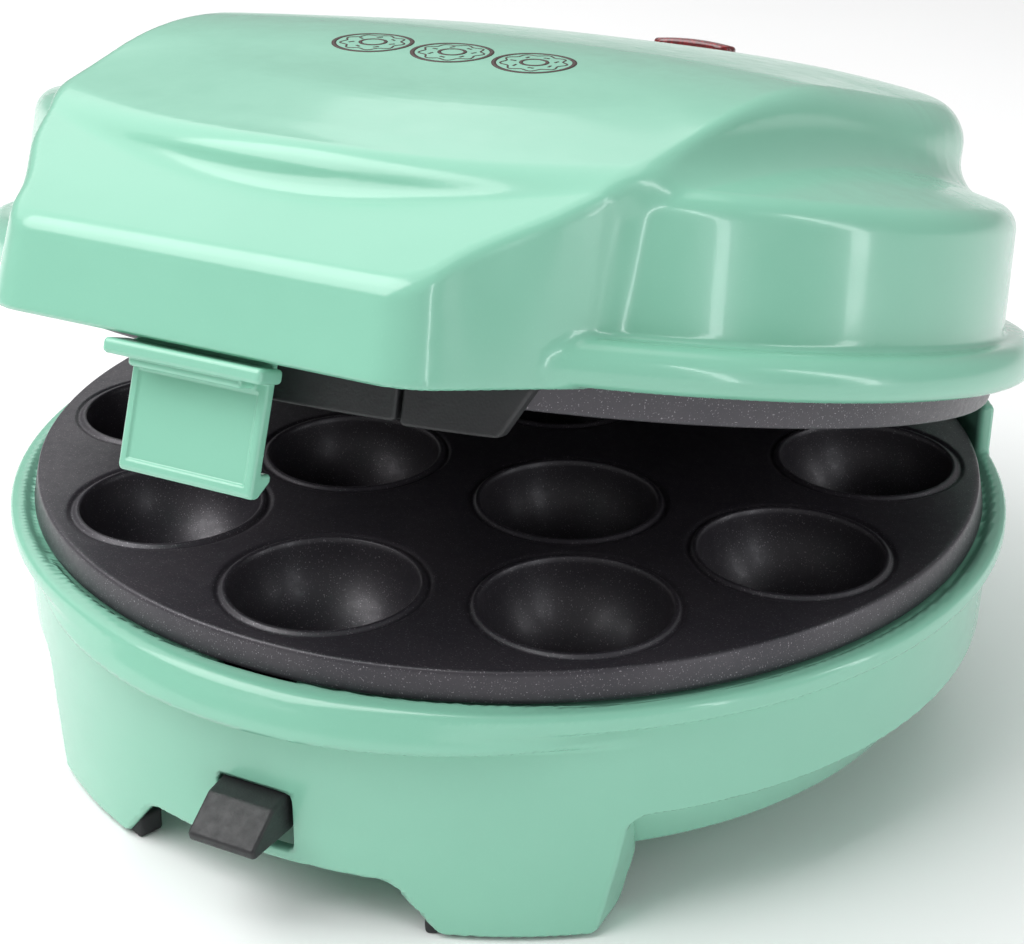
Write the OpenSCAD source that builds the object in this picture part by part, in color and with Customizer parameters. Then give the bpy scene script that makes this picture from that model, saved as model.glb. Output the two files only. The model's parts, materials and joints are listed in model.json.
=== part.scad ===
// Donut and cake ball maker: round clam-shell appliance with two removable
// cavity plates, a rear hinge, a front latch and a release for each plate.
// Millimetres, +Z up, front towards -Y, origin on the table under the middle.

/* [Size] */
// Radius of both baking plates
plate_r = 103; // [100:0.5:106]
// Height of the lower plate's face above the table
face_z = 56.4; // [56.4:0.1:56.4]
// Gap between the two plate faces when shut
plate_gap = 0.8; // [0.6:0.1:1.2]
// Radius of one ball cavity
cavity_r = 18.2; // [16:0.1:18.4]
// Radius of the circle the outer cavities sit on
ring_r = 77.8; // [76:0.1:78]
// Number of cavities in the outer circle
ring_count = 10; // [8:1:10]
// Wall thickness of the mouldings
wall = 2.6; // [2.2:0.1:3]

/* [Pose] */
// Angle the lid stands open at rest
open_deg = 14.6; // [0:0.1:60]
// Angle the latch stands out from its locked position
latch_deg = 6; // [0:1:8]

/* [Parts] */
// Node to draw

/* [Hidden] */
$fn = 96;
up_z = face_z + plate_gap;
mid = face_z + up_z;
hy = 99;
hz = 74;
hinge_r = 8.5;
pin_r = 2.5;
lx = -113.5;
lz = 67;
px = -97;
pz = 24;
inlet_z = 33;
inner = [[25.6, -23.4], [-25.6, -23.4], [0, 26.6]];
// side view of the deck: [y, z] from the nose to the back
deck = [[-121, 62.3], [-121, 64], [-119.6, 76.2], [-118.4, 78], [-110, 83.6],
        [-101, 89.4], [-91, 95.2], [-80, 100.3], [-62, 105.8], [-42, 110.2],
        [-20, 114.3], [0, 117], [21, 118.9], [41, 120], [62, 120.4],
        [84, 119.7], [93, 117.6], [97.4, 112.6], [99, 100], [100, 62.3]];

mint = [0.56, 0.87, 0.75];
coat = [0.16, 0.15, 0.17];
black = [0.1, 0.1, 0.11];
steel = [0.72, 0.73, 0.75];
sheet = [0.8, 0.8, 0.78];
rubber = [0.14, 0.14, 0.15];

// ---- helpers ----
function turn(r, a) = [r * cos(a), r * sin(a)];

// box from one corner to the opposite one
module span(a, b) { translate(a) cube(b - a); }

// ring sector of a profile, centred on the angle "at"
module arc(half, at) {
    rotate([0, 0, at - half]) rotate_extrude(angle = 2 * half) children();
}

// shaft along X from x0 to x1
module rod(x0, x1, y, z, r) {
    translate([x0, y, z]) rotate([0, 90, 0]) cylinder(r = r, h = x1 - x0);
}

// outline in Y and Z drawn out along X
module along_x(x0, x1, pts) {
    translate([x0, 0, 0]) rotate([90, 0, 90])
        linear_extrude(height = x1 - x0) polygon(pts);
}

// outline in X and Z drawn out along Y
module along_y(y0, y1, pts) {
    translate([0, y1, 0]) rotate([90, 0, 0])
        linear_extrude(height = y1 - y0) polygon(pts);
}

// children twice, the second one mirrored in X
module both() { children(); mirror([1, 0, 0]) children(); }

// turn from the shut pose to the rest pose
module lid_pose() {
    translate([0, hy, hz]) rotate([-open_deg, 0, 0])
        translate([0, -hy, -hz]) children();
}
module latch_pose() {
    translate([0, lx, lz]) rotate([-latch_deg, 0, 0])
        translate([0, -lx, -lz]) children();
}
// lower half turned over onto the upper half
module flip() { translate([0, 0, mid]) mirror([0, 0, 1]) children(); }

// smooth line through a list of points, four steps a stretch
function at(p, i) = p[min(max(i, 0), len(p) - 1)];
function route(p) = concat([for (i = [0 : len(p) - 2]) for (k = [0 : 3])
    let (t = k / 4, a = at(p, i - 1), b = p[i], c = p[i + 1], d = at(p, i + 2))
    b + t * (c - a) / 2 + t * t * (a - 2.5 * b + 2 * c - d / 2)
      + t * t * t * (1.5 * (b - c) + (d - a) / 2)], [p[len(p) - 1]]);

// wire along that line, eight-sided
module wire(pts, r) {
    p = route(pts);
    n = len(p) - 1;
    m = 8;
    ring = [for (i = [0 : n])
        let (t = at(p, i + 1) - at(p, i - 1),
             u = cross(t, [0.31, 0.52, 0.8]), v = cross(t, u))
        for (k = [0 : m - 1]) p[i] + r * (cos(360 * k / m) * u / norm(u)
            + sin(360 * k / m) * v / norm(v))];
    side = [for (i = [0 : n - 1]) for (k = [0 : m - 1])
        [i * m + k, i * m + (k + 1) % m,
         (i + 1) * m + (k + 1) % m, (i + 1) * m + k]];
    ends = [[for (k = [m - 1 : -1 : 0]) k], [for (k = [0 : m - 1]) n * m + k]];
    polyhedron(points = ring, faces = concat(ends, side), convexity = 6);
}

// coil spring standing on z = 0
module coil(r, w, turns, h) {
    n = 14 * turns;
    m = 8;
    pts = [for (i = [0 : n]) for (k = [0 : m - 1])
        let (a = 360 * i / 14, b = 360 * k / m, q = r + w * cos(b))
        [q * cos(a), q * sin(a), w + (h - 2 * w) * i / n + w * sin(b)]];
    side = [for (i = [0 : n - 1]) for (k = [0 : m - 1])
        [i * m + k, i * m + (k + 1) % m,
         (i + 1) * m + (k + 1) % m, (i + 1) * m + k]];
    ends = [[for (k = [m - 1 : -1 : 0]) k], [for (k = [0 : m - 1]) n * m + k]];
    polyhedron(points = pts, faces = concat(side, ends), convexity = 6);
}

// ---- baking plate, face up at z = 0 ----
module cavities() {
    for (i = [0 : ring_count - 1])
        rotate([0, 0, 360 * i / ring_count]) translate([0, -ring_r, 0])
            children();
    for (c = inner) translate([c[0], c[1], 0]) children();
}

module baking_plate() {
    e = plate_r;
    difference() {
        union() {
            rotate_extrude() polygon([[0, -2.4], [0, 0], [e - 1.5, 0],
                [e - 1.2, -0.3], [e, -5.9], [e - 2.2, -5.9], [e - 3.2, -2.4]]);
            cavities() intersection() {
                sphere(r = cavity_r + 2.2);
                translate([0, 0, -30]) cylinder(r = 30, h = 30);
            }
            cavities() cylinder(r = cavity_r + 0.9, h = 0.28);
            span([-5, -95.7, -16.4], [5, -93.4, -1]);
            span([-5, -97, -16.4], [5, -93.4, -14.4]);
            both() span([26, 89.6, -9], [38, 91.6, -2]);
        }
        cavities() sphere(r = cavity_r);
        cavities() rotate_extrude()
            polygon([[cavity_r + 0.9, -0.4], [cavity_r + 1.9, -0.4],
                     [cavity_r + 2.1, 1], [cavity_r + 0.9, 1]]);
    }
}

module lower_plate() {
    color(coat) translate([0, 0, face_z]) baking_plate();
}
module upper_plate() {
    color(coat) lid_pose() flip() translate([0, 0, face_z]) baking_plate();
}

// ---- heat shield behind a plate, lower half position ----
module reflector(rim) {
    difference() {
        rotate_extrude() polygon([[0, 26], [77.8, 26], [98.2, 46.4],
            [rim, 46.4], [rim, 47.2], [97.9, 47.2], [77.5, 26.8], [0, 26.8]]);
        span([-14, -110, 38], [14, -90, 50]);
        both() span([23, 84, 42], [41, 104, 50]);
        both() translate([9.7, 61.24, 20]) cylinder(r = 4.3, h = 12);
    }
}
module lower_reflector() {
    color(sheet) difference() {
        reflector(101.4);
        for (a = [45 : 90 : 315]) rotate([0, 0, a])
            translate([86, 0, 20]) cylinder(r = 4.4, h = 13);
    }
}
module upper_reflector() {
    color(sheet) lid_pose() difference() {
        flip() reflector(99.4);
        for (s = [-1, 1]) {
            translate([s * 40, -30, 80]) cylinder(r = 1.7, h = 12);
            translate([s * 41, 30, 80]) cylinder(r = 1.7, h = 12);
        }
    }
}

// tubular heater: open ring with two terminals through the shield
module element() {
    rotate([0, 0, 99]) rotate_extrude(angle = 342)
        translate([62, 0]) circle(r = 3.2);
    for (a = [81, 99]) rotate([0, 0, a]) translate([62, 0, -9]) {
        cylinder(r = 3.7, h = 12.7);
        translate([0, 0, -4]) cylinder(r = 1.2, h = 5);
    }
}
module lower_element() { color(steel) translate([0, 0, 31.4]) element(); }
module upper_element() {
    color(steel) lid_pose() flip() translate([0, 0, 31.4]) element();
}

// sheet clips: three hold the heater, two catch the plate's rear tongues
module clips() {
    for (a = [30, 150, 270]) rotate([0, 0, a]) difference() {
        translate([62, 0, 0]) span([-6.5, -4, 26.9], [6.5, 4, 33]);
        translate([62, -5, 31.4]) rotate([-90, 0, 0])
            cylinder(r = 3.4, h = 10);
        translate([62, 0, 0]) span([-3.4, -5, 31.4], [3.4, 5, 34]);
    }
    both() difference() {
        span([24, 92, 44], [40, 97.4, 47.3]);
        span([25, 91, 45.2], [39, 94.2, 48]);
    }
}
module lower_clips() { color(steel) clips(); }
module upper_clips() { color(steel) lid_pose() flip() clips(); }

// ---- base ----
// leg or skirt profile: outer face, sole and the slope beside the cover
module leg(r0, r1) {
    polygon([[r1, 0.8], [r1, 26.5], [101.8, 26.5], [95, 12.2], [r0, 0.8]]);
}

module skirt() {
    intersection() {
        union() {
            arc(37.5, 270) polygon([[103.2, 0.8], [106, 0.8], [106, 46.4],
                [105.3, 47.2], [103.2, 47.2]]);
            difference() {
                arc(37.5, 270) leg(95, 106);
                for (s = [-1, 1]) arc(8.6, 270 + s * 25.8)
                    polygon([[97.3, -1], [103.4, -1], [103.4, 22],
                             [102.1, 22], [97.3, 12]]);
            }
        }
        along_y(-120, -60, [[-59.6, 0], [59.6, 0], [62.6, 3], [64.4, 24],
            [66, 27], [66, 60], [-66, 60], [-66, 27], [-64.4, 24],
            [-62.6, 3]]);
    }
}

module skirts() {
    difference() {
        union() { skirt(); mirror([0, 1, 0]) skirt(); }
        // arch between the two legs at the front and at the back
        along_y(-120, 120, [[-36, -1], [36, -1], [35.2, 0.8], [28, 9.6],
            [25, 11.7], [-25, 11.7], [-28, 9.6], [-35.2, 0.8]]);
    }
}

module base_housing() {
    color(mint) difference() {
        union() {
            rotate_extrude() polygon([[99, 49.9], [104.2, 49.9],
                [104.2, 51], [107.3, 51], [108, 50.2], [108, 47.6],
                [106.8, 46.6], [105.2, 46.6], [103.8, 26.2], [101.2, 26.2],
                [102.5, 47.4], [99, 47.4]]);
            skirts();
            // front lip the latch hooks under
            difference() {
                translate([0, -24, 43]) {
                    cylinder(r = 87.5, h = 3.6);
                    translate([0, 0, 3.6])
                        cylinder(r1 = 87.5, r2 = 84, h = 4.4);
                }
                translate([0, 0, 40]) cylinder(r = 104.5, h = 20);
            }
            // rear wall, low behind the hinge
            for (s = [-1, 1]) arc(16.5, 90 + s * 44.5)
                polygon([[104.6, 46.6], [108, 46.6], [108, 61.2],
                         [107.2, 62], [104.6, 62]]);
            arc(30, 90) polygon([[104.6, 46.6], [108, 46.6], [108, 55],
                                 [104.6, 55]]);
            // hinge towers
            both() difference() {
                union() {
                    rod(50, 66, hy, hz, hinge_r);
                    span([50, hy - hinge_r, 46.6], [66, hy + hinge_r, hz]);
                }
                translate([0, 0, 40]) cylinder(r = 104.4, h = 25);
            }
            // posts and ribs for the bottom cover
            for (a = [45 : 90 : 315]) rotate([0, 0, a]) {
                translate([86, 0, 15.2]) cylinder(r = 3.8, h = 14);
                span([86, -1.3, 26.2], [102.4, 1.3, 29.2]);
            }
            // ears for the lever's pin
            both() span([8.2, -104, 20.4], [12, -93.4, 28]);
        }
        both() rod(30, 70, hy, hz, pin_r);
        rod(-13, 13, px, pz, 1.5);
        for (a = [45 : 90 : 315]) rotate([0, 0, a])
            translate([86, 0, 14]) cylinder(r = 1.5, h = 12);
        // lever slot and the room its arm swings in
        span([-7.9, -110, 14.6], [7.9, -90, 27]);
        span([-8.1, -103.4, 20], [8.1, -90, 49.92]);
        // cord inlet
        translate([0, 90, inlet_z]) rotate([-90, 0, 0]) cylinder(r = 6, h = 20);
        both() span([24, 90, 43], [40, 98, 49.92]);
    }
}

module bottom_cover() {
    color(mint) difference() {
        rotate_extrude() polygon([[0, 12.5], [93.6, 12.5], [94.6, 13],
            [100.9, 25.8], [98.5, 25.8], [93, 14.9], [0, 14.9]]);
        span([-13.6, -106, 14.9], [13.6, -88, 30]);
        for (a = [45 : 90 : 315]) rotate([0, 0, a])
            translate([86, 0, 10]) cylinder(r = 1.9, h = 8);
        for (a = [0, 180], i = [-4 : 4]) rotate([0, 0, a])
            span([i * 9 - 2, 34, 10], [i * 9 + 2, 62, 18]);
    }
}

module rubber_feet() {
    color(rubber) for (s = [-1, 1], b = [90, 270])
        arc(7.6, b + s * 25.8)
            polygon([[97.9, 0], [102.7, 0], [103.1, 0.5], [103.1, 5],
                     [97.5, 5], [97.5, 0.5]]);
}

module screw(r, h) {
    cylinder(r = r, h = h);
    difference() {
        translate([0, 0, -1.8]) cylinder(r = r * 2, h = 1.8);
        translate([-r * 1.4, -0.4, -2.8]) cube([r * 2.8, 0.8, 1.6]);
        translate([-0.4, -r * 1.4, -2.8]) cube([0.8, r * 2.8, 1.6]);
    }
}
module cover_screws() {
    color(steel) for (a = [45 : 90 : 315]) rotate([0, 0, a])
        translate([86, 0, 12.5]) screw(1.48, 11.5);
}

module hinge_pins() {
    color(steel) both() {
        rod(41, 65.6, hy, hz, 2.48);
        rod(66, 66.8, hy, hz, 4);
        rod(65.5, 66.1, hy, hz, 2.48);
    }
}

module release_lever() {
    color(black) difference() {
        union() {
            along_x(-7.2, 7.2, [[-95, 20.6], [-103, 17.6], [-115.6, 17.6],
                [-116.6, 18.2], [-116.6, 19.8], [-108.8, 25.6],
                [-107, 26.4], [-97, 27.6]]);
            rod(-7.2, 7.2, px, pz, 4);
            along_x(-4.4, 4.4, [[-97.2, 24], [-99.6, 24], [-99.6, 44.4],
                [-97.6, 44.4], [-95.9, 43], [-95.9, 42.3], [-97.2, 42.3]]);
        }
        rod(-8, 8, px, pz, 1.53);
        // pocket for the spring
        rod(3, 8, px, pz, 4.3);
    }
}
module lever_pin() { color(steel) rod(-11.9, 11.9, px, pz, 1.48); }
module lever_spring() {
    color(steel) translate([3.2, px, pz]) rotate([0, 90, 0])
        coil(2.6, 0.4, 5, 4.6);
}

module thermostat() {
    color(steel) translate([30, 8, 0]) {
        translate([0, 0, 16.6]) cylinder(r = 8.4, h = 6);
        translate([0, 0, 22.4]) cylinder(r = 11, h = 1);
        translate([0, 0, 23.3]) cylinder(r = 7.4, h = 2.6);
        span([-12.4, -3, 18.4], [-8, 3, 19.2]);
        span([8, -3, 18.4], [12.4, 3, 19.2]);
    }
}

module fuse() {
    rod(-9, 9, 0, 0, 2.1);
    rod(-13, -8.9, 0, 0, 0.6);
    rod(8.9, 13, 0, 0, 0.6);
}
module base_fuse() { color(sheet) translate([-30, 12, 21]) fuse(); }

module terminal_block() {
    color([0.9, 0.9, 0.86]) translate([0, 74, 15.1]) difference() {
        span([-16, -6, 0], [16, 6, 9.5]);
        for (x = [-10, 0, 10]) {
            translate([x, 0, 4]) cylinder(r = 2.2, h = 8);
            translate([x, -8, 4.4]) rotate([-90, 0, 0])
                cylinder(r = 1.8, h = 16);
        }
    }
}

module cord_gland() {
    color(black) translate([0, 0, inlet_z]) rotate([-90, 0, 0]) difference() {
        union() {
            translate([0, 0, 95.6]) cylinder(r = 5.9, h = 10.5);
            translate([0, 0, 106.05]) cylinder(r = 8.2, h = 2.2);
            translate([0, 0, 108.2]) cylinder(r1 = 7, r2 = 5, h = 9.8);
            translate([0, 0, 95.6]) cylinder(r = 6.9, h = 3);
        }
        translate([0, 0, 90]) cylinder(r = 3.4, h = 40);
    }
}

module base_wiring() {
    color([0.45, 0.3, 0.2]) wire([[-2, 95, inlet_z], [-5, 90, 31],
        [-9, 87, 24.5], [-10, 80.2, 19.6]], 1.2);
    color([0.2, 0.35, 0.65]) wire([[2, 95, inlet_z], [5, 90, 31],
        [9, 87, 24.5], [10, 80.2, 19.6]], 1.2);
    color([0.45, 0.3, 0.2]) wire([[-10, 67.8, 19.6], [-16, 61, 18],
        [-32, 38, 18], [-50, 24, 18.4], [-51, 13, 21], [-43.2, 12, 21]], 1.2);
    color([0.2, 0.35, 0.65]) wire([[10, 67.8, 19.6], [16, 61, 17.8],
        [26, 30, 17.4], [44, 25, 17.6], [49, 12, 18.4], [42.8, 8, 18.8]], 1.2);
}

// ---- lid, drawn shut ----
// outline of nose and deck from above, moved in by t
function plan(t) = let (h = [[31 - t * 0.5, -121 + t], [36.5 - t * 0.8,
    -119.6 + t], [39.8 - t, -116.4 + t * 0.7], [55.4 - t, -89 + t * 0.5],
    [59 - t, -80], [65 - t, -50], [71 - t, -18], [76 - t, 12],
    [79 - t, 40], [79 - t, 64 - t * 0.3], [70 - t * 0.8, 77 - t * 0.7],
    [52 - t * 0.6, 91 - t], [36 - t * 0.4, 98 - t]])
    concat(h, [for (i = [len(h) - 1 : -1 : 0]) [-h[i][0], h[i][1]]]);

// nose and deck, moved in by t on every side
module deck_form(t, low) {
    intersection() {
        translate([0, 0, low]) linear_extrude(height = 80) polygon(plan(t));
        along_x(-110, 110, [for (p = deck) [p[0] < 0 ? p[0] + t * 0.9 :
            (p[1] < 117 ? p[0] - t : p[0]),
            p[1] < 70 ? low - 1 : p[1] - t * 1.08]]);
        along_y(-130, 110, concat([[110, 50], [110, 92 - t]],
            [for (p = [[98, 95], [84, 107.5], [76, 113.4], [60, 117.4],
                [30, 120], [0, 120.6]]) [p[0], p[1] - t]],
            [for (p = [[30, 120], [60, 117.4], [76, 113.4], [84, 107.5],
                [98, 95]]) [-p[0], p[1] - t]],
            [[-110, 92 - t], [-110, 50]]));
    }
}

module drum(t, low) {
    rotate_extrude() polygon([[0, low], [102.6 - t, low], [102.6 - t, 72],
        [101.6 - t, 89 - t * 0.4], [100.4 - t, 92.6 - t * 0.7],
        [97.6 - t, 95.2 - t * 0.9], [90 - t, 98 - t],
        [70, 103 - t], [0, 108 - t]]);
}

module lid_housing() {
    color(mint) lid_pose() difference() {
        union() {
            deck_form(0, 62.3);
            drum(0, 63);
            // bead round the rim
            rotate_extrude() polygon([[100, 63], [107.4, 63], [109.2, 63.8],
                [110, 65.4], [109.8, 67], [108.6, 68.4], [104.4, 69.6],
                [102.2, 71], [100, 71]]);
            // hinge block
            rod(-49, 49, hy, hz, hinge_r);
            span([-49, 88, hz - hinge_r], [49, hy, hz + hinge_r]);
        }
        difference() {
            union() { deck_form(wall, 55); drum(wall, 55); }
            // screw posts
            for (s = [-1, 1]) {
                translate([s * 40, -30, 87.7]) cylinder(r = 3.4, h = 40);
                translate([s * 41, 30, 87.7]) cylinder(r = 3.4, h = 40);
                translate([s * 34, -107, 65]) cylinder(r = 3, h = 40);
            }
            // bearers for the latch pin
            both() span([14.2, -119, 62.3], [16.6, -110, 70.4]);
        }
        // seat of the plate's edge
        translate([0, 0, 60]) cylinder(r = 104, h = 3.7);
        // room for the clips of the plate's tongues
        both() span([23.6, 91, 62], [40.4, 97.8, 70.4]);
        // hinge towers pass here
        both() span([49.4, 89.6, 55], [66.8, 120, 84]);
        both() rod(30, 50, hy, hz, 2.54);
        for (s = [-1, 1]) {
            translate([s * 40, -30, 80]) cylinder(r = 1.5, h = 22);
            translate([s * 41, 30, 80]) cylinder(r = 1.5, h = 22);
            translate([s * 34, -107, 60]) cylinder(r = 1.5, h = 14);
        }
        rod(-17.5, 17.5, lx, lz, 1.5);
        lens_form(0, 100, 130);
    }
}

// slot-shaped lens outline
module lens_form(t, z0, z1) {
    for (s = [-1, 1]) translate([s * 7.6, 89, z0])
        cylinder(r = 3.2 - t, h = z1 - z0);
    span([-7.6, 85.8 + t, z0], [7.6, 92.2 - t, z1]);
}

module nose_underplate() {
    color(mint) lid_pose() difference() {
        translate([0, 0, 62.6]) linear_extrude(height = 2.2)
            polygon(plan(wall + 0.7));
        translate([0, 0, 60]) cylinder(r = 104.2, h = 9);
        span([-110, -80, 60], [110, 110, 70]);
        span([-14, -118.2, 60], [14, -109.5, 70]);
        both() span([14, -120, 60], [16.8, -109.8, 70]);
        span([17.4, -109.6, 60], [28.6, -100, 70]);
        for (s = [-1, 1])
            translate([s * 34, -107, 60]) cylinder(r = 1.7, h = 9);
    }
}

module latch() {
    color(mint) lid_pose() latch_pose() difference() {
        union() {
            rod(-13.2, 13.2, lx, lz, 3.1);
            // hook plate
            along_x(-13.2, 13.2, [[-114.9, 67], [-114.9, 39.4],
                [-114.2, 38.7], [-112.6, 38.7], [-109.4, 41.4],
                [-109.4, 42.7], [-112.3, 42.7], [-112.3, 67]]);
            // finger ledge
            span([-15.4, -121, 58], [15.4, -114, 60.6]);
            span([-11, -119.6, 56.8], [11, -114, 58.2]);
        }
        // shallow panel in the front face
        span([-11, -116, 41.4], [11, -114.4, 55.6]);
        rod(-14, 14, lx, lz, 1.53);
    }
}
module latch_pin() { color(steel) lid_pose() rod(-16.9, 16.9, lx, lz, 1.48); }

// black pad hanging in front of the plates, cut to the plate's curve
module hanging(x0, x1, x2, z0, z1, r) {
    intersection() {
        rotate([0, 0, 265]) rotate_extrude(angle = 45)
            polygon([[104.2, z0], [r, z0], [r, z1], [104.2, z1]]);
        along_y(-120, -80, [[x0, z0], [x1, z0], [x2, z1], [x0, z1]]);
    }
}
module release_catch() {
    color(black) lid_pose() {
        hanging(2, 30, 30, 53.6, 62.3, 107.6);
        along_x(18, 28, [[-107, 60], [-107, 71.3], [-95.9, 71.3],
            [-95.9, 70.6], [-97.6, 69.2], [-104.4, 69.2], [-104.4, 60]]);
        along_x(-4.6, 19, [[-107, 69.2], [-107, 71.3], [-95.9, 71.3],
            [-95.9, 70.6], [-97.6, 69.2]]);
    }
}
module catch_guide() {
    color(black) lid_pose()
        hanging(30.6, 46, 50.6, 53, 62.25, 107.2);
}
module catch_spring() {
    color(steel) lid_pose() translate([23, -112.6, 67.1])
        rotate([-90, 0, 0]) coil(1.9, 0.3, 4, 3.6);
}

module lid_screws() {
    color(steel) lid_pose() for (s = [-1, 1]) {
        translate([s * 40, -30, 86.8]) screw(1.48, 12);
        translate([s * 41, 30, 86.8]) screw(1.48, 12);
        translate([s * 34, -107, 62.6]) screw(1.48, 10);
    }
}

module lid_fuse() {
    color(sheet) lid_pose() translate([-24, 4, 91]) fuse();
}
module lid_wiring() {
    color([0.45, 0.3, 0.2]) lid_pose()
        wire([[-9.7, 61.2, 96], [-10.6, 60, 99.4], [-46, 14, 98.6],
              [-46, 4, 91], [-37.2, 4, 91]], 1.2);
    color([0.2, 0.35, 0.65]) lid_pose()
        wire([[9.7, 61.2, 96], [9.6, 61.4, 100], [4, 88.6, 102],
              [4, 88.8, 105.6]], 1.2);
}
module lamp_holder() {
    color([0.9, 0.9, 0.86]) lid_pose() difference() {
        union() {
            span([-12.6, 84.6, 111], [12.6, 93.4, 113.7]);
            span([-8, 85.8, 106.6], [8, 92.2, 112]);
        }
        rod(-6, 6, 89, 111.4, 2.6);
        span([-6, 86.4, 111.4], [6, 91.6, 118]);
    }
}
module indicator_lens() {
    color([0.5, 0.03, 0.04]) lid_pose() {
        lens_form(0.1, 114, 120.4);
        lens_form(0.9, 120.3, 121.2);
    }
}

// ---- assembly ----
base_housing();
bottom_cover();
rubber_feet();
cover_screws();
lower_plate();
lower_reflector();
lower_element();
lower_clips();
thermostat();
base_fuse();
terminal_block();
cord_gland();
base_wiring();
lever_pin();
lever_spring();
hinge_pins();
release_lever();
lid_housing();
nose_underplate();
upper_plate();
upper_reflector();
upper_element();
upper_clips();
lid_fuse();
lid_wiring();
lamp_holder();
indicator_lens();
lid_screws();
latch_pin();
catch_guide();
catch_spring();
latch();
release_catch();
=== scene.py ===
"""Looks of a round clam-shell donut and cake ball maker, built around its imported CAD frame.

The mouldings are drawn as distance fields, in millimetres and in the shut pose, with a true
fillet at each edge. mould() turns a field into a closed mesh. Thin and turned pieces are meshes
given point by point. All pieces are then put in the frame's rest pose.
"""

import json
import math

import bmesh
import bpy
import numpy as np
from mathutils import Matrix, Vector

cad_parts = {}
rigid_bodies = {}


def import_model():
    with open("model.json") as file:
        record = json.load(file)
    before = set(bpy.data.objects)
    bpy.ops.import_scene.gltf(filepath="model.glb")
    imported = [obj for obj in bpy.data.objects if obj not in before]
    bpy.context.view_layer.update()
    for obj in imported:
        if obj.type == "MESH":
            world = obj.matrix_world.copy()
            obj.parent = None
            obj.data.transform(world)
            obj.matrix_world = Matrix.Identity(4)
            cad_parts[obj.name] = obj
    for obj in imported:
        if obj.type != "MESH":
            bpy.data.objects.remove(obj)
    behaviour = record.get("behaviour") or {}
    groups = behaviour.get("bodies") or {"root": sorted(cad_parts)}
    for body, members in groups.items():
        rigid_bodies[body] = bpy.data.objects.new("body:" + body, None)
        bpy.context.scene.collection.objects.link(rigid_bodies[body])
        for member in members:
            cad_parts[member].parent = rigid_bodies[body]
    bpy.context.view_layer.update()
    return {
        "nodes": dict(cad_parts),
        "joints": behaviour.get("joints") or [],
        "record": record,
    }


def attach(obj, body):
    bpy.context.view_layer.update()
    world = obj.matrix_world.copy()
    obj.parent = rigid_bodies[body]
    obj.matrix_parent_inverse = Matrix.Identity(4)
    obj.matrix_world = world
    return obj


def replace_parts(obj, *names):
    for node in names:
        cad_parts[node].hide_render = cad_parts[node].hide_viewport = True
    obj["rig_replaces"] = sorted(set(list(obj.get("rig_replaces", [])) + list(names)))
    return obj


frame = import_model()
MM = 0.001
JOINTS = {j["name"]: j for j in frame["joints"]}


# ---- where things are, from the frame ----
def pivot(joint):
    """A hinge's place in millimetres, as the frame holds it at rest."""
    return Vector(JOINTS[joint]["pos_m"]) / MM


HINGE = pivot("lid_hinge")
OPEN = math.radians(-JOINTS["lid_hinge"]["range_deg"][0])
SWUNG = math.radians(-JOINTS["latch_swing"]["range_deg"][0])
LEVER = pivot("lever_press")


def about(point, angle):
    """Turn about a line along X through a point."""
    return Matrix.Translation(point) @ Matrix.Rotation(angle, 4, "X") @ Matrix.Translation(-point)


TO_LID = about(HINGE, -OPEN)
LATCH = TO_LID.inverted() @ pivot("latch_swing")
TO_LATCH = TO_LID @ about(LATCH, -SWUNG)
TO_BASE = Matrix.Identity(4)

# driving sizes, mm
PLATE_R = 103.0
FACE_Z = 56.4
PLATE_GAP = 0.8
MID = 2 * FACE_Z + PLATE_GAP  # lower height plus upper height of a mirrored pair
CAVITY_R = 18.2
RING_R = 77.8
RING_COUNT = 10
INNER = [(25.6, -23.4), (-25.6, -23.4), (0.0, 26.6)]
CAVITIES = [
    (RING_R * math.sin(2 * math.pi * i / RING_COUNT), -RING_R * math.cos(2 * math.pi * i / RING_COUNT))
    for i in range(RING_COUNT)
] + INNER
WALL = 2.6
LENS_Y = 89.0
KNUCKLE_HALF = 49
KNUCKLE_R = 8.5


# ---- distance fields: negative inside, arguments x, y, z in millimetres ----
def both_of(a, b, r):
    """Intersection with a round outside edge of radius r."""
    return np.minimum(-r, np.maximum(a, b)) + np.hypot(np.maximum(a + r, 0), np.maximum(b + r, 0))


def either_of(a, b, r):
    """Union with a round inside corner of radius r."""
    return -both_of(-a, -b, r)


def less(a, b, r=0.5):
    """a with b taken away, edge rounded by r."""
    return both_of(a, -b, r)


def step_up(v, low, high):
    """0 below low and 1 above high, smooth between."""
    t = np.clip((v - low) / (high - low), 0, 1)
    return t * t * (3 - 2 * t)


def slab(v, low, high):
    return np.maximum(low - v, v - high)


def rounded(points):
    """Closed outline from (u, v) or (u, v, radius) corners, given anticlockwise or clockwise."""
    out = []
    n = len(points)
    for i in range(n):
        p = np.array(points[i][:2], float)
        r = points[i][2] if len(points[i]) > 2 else 0
        if r == 0:
            out.append(p)
            continue
        a = np.array(points[i - 1][:2], float) - p
        b = np.array(points[(i + 1) % n][:2], float) - p
        a /= np.linalg.norm(a)
        b /= np.linalg.norm(b)
        half = math.acos(np.clip(a @ b, -1, 1)) / 2
        reach = r / math.tan(half)
        centre = p + (a + b) / np.linalg.norm(a + b) * r / math.sin(half)
        start = p + a * reach - centre
        end = p + b * reach - centre
        sweep = math.atan2(start[0] * end[1] - start[1] * end[0], start @ end)
        steps = math.ceil(abs(sweep) / math.radians(5)) + 1
        for k in range(steps + 1):
            t = sweep * k / steps
            c, s = math.cos(t), math.sin(t)
            out.append(centre + np.array([start[0] * c - start[1] * s, start[0] * s + start[1] * c]))
    return out


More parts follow.
